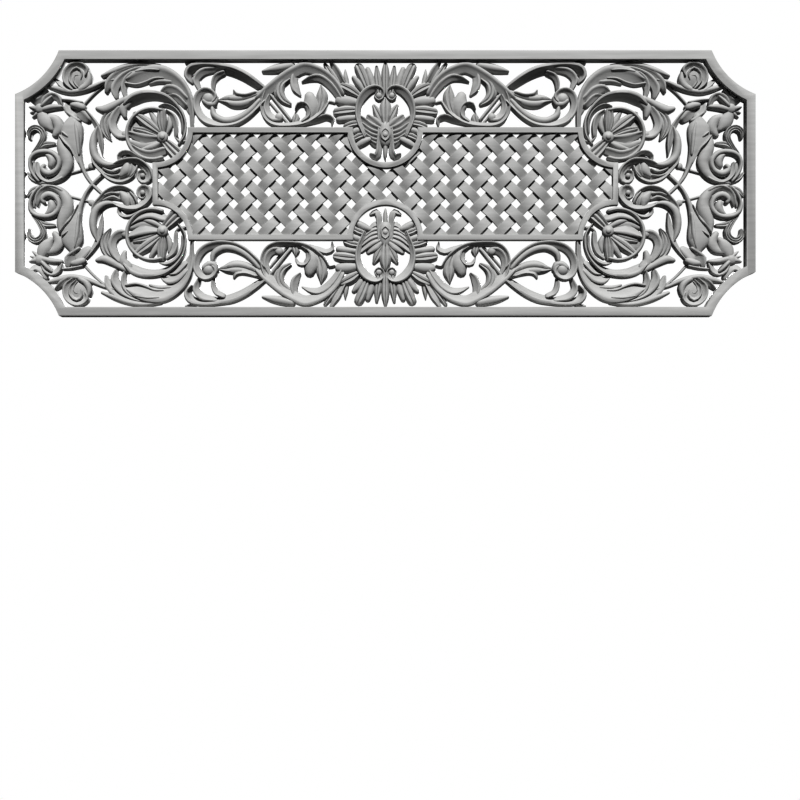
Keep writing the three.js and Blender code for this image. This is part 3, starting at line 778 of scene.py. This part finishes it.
scrollPiece = fuse(quarterLobes(), "carvedScrollwork")
room = outerBoard(outerFrame["bar"] + scrollwork["gap"], -past, outerFrame["depth"])
hollow = innerBoard(innerFrame["bar"] / 2 + scrollwork["gap"], -past, outerFrame["depth"] + past)
combine(room, hollow, "DIFFERENCE")
combine(scrollPiece, room, "INTERSECT")
mirror = scrollPiece.modifiers.new("quarters", "MIRROR")
mirror.use_axis = (True, False, True)
mirror.use_bisect_axis = (True, False, True)
mirror.use_bisect_flip_axis = (True, False, False)
mirror.use_clip = True
mirror.merge_threshold = scrollwork["weld"]
applyModifiers(scrollPiece)
finishPiece(scrollPiece, "carved_scrollwork", carvedMaterial, scrollwork["sharp"])


# Floor, light and camera

studio = {
    "floorBelow": 1.25, "floorFront": 1.4, "floorSize": 4,  # the panel hangs over the floor
    "floorTone": (0.85, 0.85, 0.85, 1), "floorRoughness": 0.9,
    "key": 5.7, "keyTurn": (42, 0, 5), "back": 5.0, "backTurn": (-80, 0, -10), "sunAngle": 6,
    "sky": (1, 1, 1, 1), "ambient": 0.01, "gamma": 0.68,
    "lens": 62.73, "sensor": 36, "shift": (-0.0094, 0.0925),
    "distance": 1.882, "right": 0.030, "below": 0.393,  # the camera's place
}


def addSun(name, energy, turn):
    deselectAll()
    bpy.ops.object.light_add(type="SUN", rotation=[radians(angle) for angle in turn])
    sun = bpy.context.object
    sun.name = name
    sun.data.energy = energy
    sun.data.angle = radians(studio["sunAngle"])


deselectAll()
bpy.ops.mesh.primitive_plane_add(size=studio["floorSize"], location=(
    0, -studio["floorFront"], panelMiddle - studio["floorBelow"]))
floor = bpy.context.object
floor.name = "floor"
floorMaterial = bpy.data.materials.new("paleFloor")
floorMaterial.use_nodes = True
floorShader = floorMaterial.node_tree.nodes["Principled BSDF"]
floorShader.inputs["Base Color"].default_value = studio["floorTone"]
floorShader.inputs["Roughness"].default_value = studio["floorRoughness"]
floor.data.materials.append(floorMaterial)
floor.visible_diffuse = False  # the panel gets no light from below

addSun("keyLight", studio["key"], studio["keyTurn"])
addSun("backLight", studio["back"], studio["backTurn"])  # reaches the hidden side only

bpy.context.scene.view_settings.view_transform = "Standard"
bpy.context.scene.view_settings.gamma = studio["gamma"]
world = bpy.data.worlds.new("studio")
bpy.context.scene.world = world
world.use_nodes = True
nodes, links = world.node_tree.nodes, world.node_tree.links
nodes.clear()
seen = nodes.new("ShaderNodeBackground")
seen.inputs["Color"].default_value = studio["sky"]
seen.inputs["Strength"].default_value = 1
ambient = nodes.new("ShaderNodeBackground")
ambient.inputs["Strength"].default_value = studio["ambient"]
rays = nodes.new("ShaderNodeLightPath")
pick = nodes.new("ShaderNodeMixShader")
output = nodes.new("ShaderNodeOutputWorld")
links.new(rays.outputs["Is Camera Ray"], pick.inputs["Fac"])
links.new(ambient.outputs["Background"], pick.inputs[1])
links.new(seen.outputs["Background"], pick.inputs[2])
links.new(pick.outputs["Shader"], output.inputs["Surface"])

deselectAll()
front = -outerFrame["depth"] * mm
bpy.ops.object.camera_add(rotation=(pi / 2, 0, 0), location=(
    studio["right"], front - studio["distance"], panelMiddle - studio["below"]))
camera = bpy.context.object
camera.name = "camera"
camera.data.lens = studio["lens"]
camera.data.sensor_width = studio["sensor"]
camera.data.shift_x, camera.data.shift_y = studio["shift"]
bpy.context.scene.camera = camera
print("studio set")
